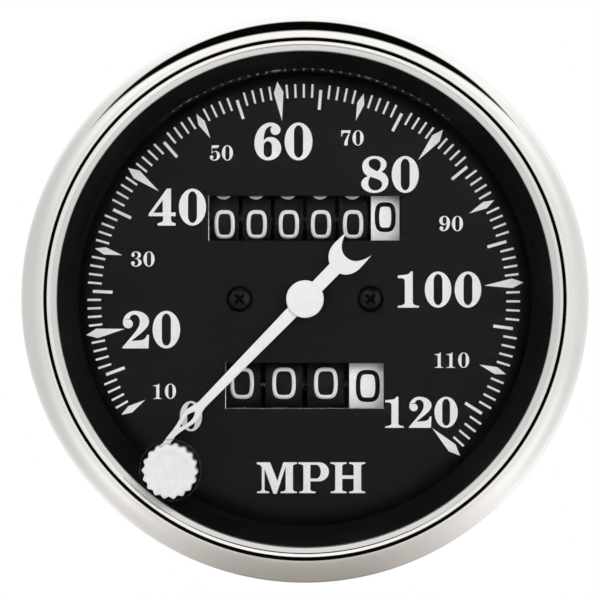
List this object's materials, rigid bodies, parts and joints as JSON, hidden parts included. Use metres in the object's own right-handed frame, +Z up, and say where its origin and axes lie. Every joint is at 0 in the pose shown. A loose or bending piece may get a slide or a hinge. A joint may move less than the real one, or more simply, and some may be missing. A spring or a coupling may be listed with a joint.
{
  "type": "vintage speedometer",
  "caption": "Round in-dash mechanical speedometer with chrome bezel, flat glass, black dial, white pointer, odometer and trip drums, trip reset knob and a rear cable coupling.",
  "frame": {"origin": "centre of the panel seat, on the gauge axis at the back face of the bezel", "axes": "+Y along the gauge axis towards the back of the case, the dial faces -Y, +Z up, +X right on the dial"},
  "size_m": [0.0914, 0.1116, 0.0914],
  "materials": {
    "bezel_chrome": "polished chrome plate",
    "case_plate": "zinc plated drawn steel",
    "lens_glass": "clear flat glass",
    "bulb_glass": "clear lamp glass",
    "gasket_rubber": "black moulded rubber",
    "ring_black": "gloss black",
    "dial_black": "satin black enamel",
    "screw_black": "black oxide",
    "pointer_white": "matt white enamel",
    "knob_white": "pale moulded plastic",
    "drum_black": "matt black moulding",
    "drum_white": "matt white moulding",
    "brass": "turned brass",
    "steel": "bright steel",
    "cast_alloy": "die cast",
    "cup_alloy": "spun sheet",
    "nylon": "natural nylon",
    "magnet_iron": "sintered magnet"
  },
  "bodies": {
    "housing": {"bezel_ring": "bezel_chrome", "case_can": "case_plate", "lens_glass": "lens_glass", "lens_bush": "lens_glass", "lamp_bulbs": "bulb_glass", "lens_gasket": "gasket_rubber", "spacer_ring": "ring_black", "dial_plate": "dial_black", "dial_screws": "screw_black", "side_plate_left": "steel", "side_plate_right": "steel", "case_screws": "steel", "carry_bars": "steel", "carry_plates": "steel", "mount_studs": "steel", "lamp_holders": "steel", "front_bridge": "cast_alloy", "spring_bridge": "cast_alloy", "movement_base": "cast_alloy", "staff_bush": "brass", "train_posts": "brass", "carry_pinions": "brass", "spindle_bush": "brass", "drive_coupling": "brass"},
    "pointer_group": {"pointer": "pointer_white", "pointer_boss": "pointer_white", "pointer_staff": "steel", "drag_cup": "cup_alloy", "hairspring": "brass"},
    "drive_group": {"drive_spindle": "steel", "field_cup": "steel", "drive_worm": "brass", "magnet": "magnet_iron"},
    "cross_group": {"cross_shaft": "steel", "cross_wheel": "nylon", "cross_worms": "brass"},
    "odometer_arbor_group": {"odometer_arbor": "nylon", "odometer_arbor_gear": "nylon"},
    "odometer_idler_group": {"odometer_idler": "nylon"},
    "odometer_tenths_group": {"odometer_gear": "nylon", "odometer_shaft": "steel", "odometer_drum_6": "drum_white"},
    "trip_arbor_group": {"trip_arbor": "nylon", "trip_arbor_gear": "nylon"},
    "trip_idler_group": {"trip_idler": "nylon"},
    "trip_clutch_group": {"trip_clutch_gear": "nylon"},
    "trip_shaft_group": {"trip_shaft": "steel", "trip_drum_4": "drum_white"},
    "reset_group": {"reset_stem": "steel", "reset_knob": "knob_white"},
    "reset_crown_group": {"reset_crown": "brass"},
    "odometer_drum_1_group": {"odometer_drum_1": "drum_black"},
    "odometer_drum_2_group": {"odometer_drum_2": "drum_black"},
    "odometer_drum_3_group": {"odometer_drum_3": "drum_black"},
    "odometer_drum_4_group": {"odometer_drum_4": "drum_black"},
    "odometer_drum_5_group": {"odometer_drum_5": "drum_black"},
    "trip_drum_1_group": {"trip_drum_1": "drum_black"},
    "trip_drum_2_group": {"trip_drum_2": "drum_black"},
    "trip_drum_3_group": {"trip_drum_3": "drum_black"}
  },
  "joints": [
    {"name": "pointer_swing", "type": "hinge", "parent": "housing", "child": "pointer_group", "pos_m": [0, 0, 0], "axis": [0, 1, 0], "range_deg": [0, 270], "stiffness_Nm_per_rad": 0.0002, "deforming": ["hairspring"]},
    {"name": "drive_spin", "type": "hinge", "parent": "housing", "child": "drive_group", "pos_m": [0, 0.06, 0], "axis": [0, 1, 0], "continuous": true},
    {"name": "cross_spin", "type": "hinge", "parent": "housing", "child": "cross_group", "pos_m": [0.00863, 0.06, 0], "axis": [0, 0, 1], "continuous": true},
    {"name": "odometer_arbor_spin", "type": "hinge", "parent": "housing", "child": "odometer_arbor_group", "pos_m": [0, 0.05, 0.0131], "axis": [1, 0, 0], "continuous": true},
    {"name": "odometer_idler_spin", "type": "hinge", "parent": "housing", "child": "odometer_idler_group", "pos_m": [0, 0.03222, 0.0131], "axis": [1, 0, 0], "continuous": true},
    {"name": "odometer_tenths_spin", "type": "hinge", "parent": "housing", "child": "odometer_tenths_group", "pos_m": [0, 0.01445, 0.0131], "axis": [1, 0, 0], "continuous": true},
    {"name": "trip_arbor_spin", "type": "hinge", "parent": "housing", "child": "trip_arbor_group", "pos_m": [0, 0.05, -0.014], "axis": [1, 0, 0], "continuous": true},
    {"name": "trip_idler_spin", "type": "hinge", "parent": "housing", "child": "trip_idler_group", "pos_m": [0, 0.03222, -0.014], "axis": [1, 0, 0], "continuous": true},
    {"name": "trip_clutch_spin", "type": "hinge", "parent": "housing", "child": "trip_clutch_group", "pos_m": [0, 0.01445, -0.014], "axis": [1, 0, 0], "continuous": true},
    {"name": "reset_turn", "type": "hinge", "parent": "housing", "child": "reset_group", "pos_m": [-0.0217, 0, -0.0276], "axis": [0, 1, 0], "continuous": true},
    {"name": "reset_crown_spin", "type": "hinge", "parent": "housing", "child": "reset_crown_group", "pos_m": [0, 0.01445, -0.0276], "axis": [1, 0, 0], "continuous": true},
    {"name": "trip_shaft_spin", "type": "hinge", "parent": "housing", "child": "trip_shaft_group", "pos_m": [0, 0.01445, -0.014], "axis": [1, 0, 0], "continuous": true},
    {"name": "odometer_drum_5_spin", "type": "hinge", "parent": "housing", "child": "odometer_drum_5_group", "pos_m": [0, 0.01445, 0.0131], "axis": [1, 0, 0], "continuous": true},
    {"name": "odometer_drum_4_spin", "type": "hinge", "parent": "housing", "child": "odometer_drum_4_group", "pos_m": [0, 0.01445, 0.0131], "axis": [1, 0, 0], "continuous": true},
    {"name": "odometer_drum_3_spin", "type": "hinge", "parent": "housing", "child": "odometer_drum_3_group", "pos_m": [0, 0.01445, 0.0131], "axis": [1, 0, 0], "continuous": true},
    {"name": "odometer_drum_2_spin", "type": "hinge", "parent": "housing", "child": "odometer_drum_2_group", "pos_m": [0, 0.01445, 0.0131], "axis": [1, 0, 0], "continuous": true},
    {"name": "odometer_drum_1_spin", "type": "hinge", "parent": "housing", "child": "odometer_drum_1_group", "pos_m": [0, 0.01445, 0.0131], "axis": [1, 0, 0], "continuous": true},
    {"name": "trip_drum_1_spin", "type": "hinge", "parent": "housing", "child": "trip_drum_1_group", "pos_m": [0, 0.01445, -0.014], "axis": [1, 0, 0], "continuous": true},
    {"name": "trip_drum_2_spin", "type": "hinge", "parent": "housing", "child": "trip_drum_2_group", "pos_m": [0, 0.01445, -0.014], "axis": [1, 0, 0], "continuous": true},
    {"name": "trip_drum_3_spin", "type": "hinge", "parent": "housing", "child": "trip_drum_3_group", "pos_m": [0, 0.01445, -0.014], "axis": [1, 0, 0], "continuous": true}
  ],
  "couplings": [
    {"joint": "cross_spin", "follows": "drive_spin", "ratio": 0.04},
    {"joint": "odometer_arbor_spin", "follows": "drive_spin", "ratio": -0.001},
    {"joint": "odometer_idler_spin", "follows": "drive_spin", "ratio": 0.001},
    {"joint": "odometer_tenths_spin", "follows": "drive_spin", "ratio": -0.001},
    {"joint": "trip_arbor_spin", "follows": "drive_spin", "ratio": -0.001},
    {"joint": "trip_idler_spin", "follows": "drive_spin", "ratio": 0.001},
    {"joint": "trip_clutch_spin", "follows": "drive_spin", "ratio": -0.001},
    {"joint": "reset_crown_spin", "follows": "reset_turn", "ratio": -0.5},
    {"joint": "trip_shaft_spin", "follows": "reset_turn", "ratio": 0.5},
    {"joint": "odometer_drum_5_spin", "follows": "drive_spin", "ratio": -0.0001},
    {"joint": "odometer_drum_4_spin", "follows": "drive_spin", "ratio": -0.00001},
    {"joint": "odometer_drum_3_spin", "follows": "drive_spin", "ratio": -0.000001},
    {"joint": "odometer_drum_2_spin", "follows": "drive_spin", "ratio": -0.0000001},
    {"joint": "odometer_drum_1_spin", "follows": "drive_spin", "ratio": -0.00000001},
    {"joint": "trip_drum_1_spin", "follows": "reset_turn", "ratio": 0.5},
    {"joint": "trip_drum_2_spin", "follows": "reset_turn", "ratio": 0.5},
    {"joint": "trip_drum_3_spin", "follows": "reset_turn", "ratio": 0.5}
  ]
}
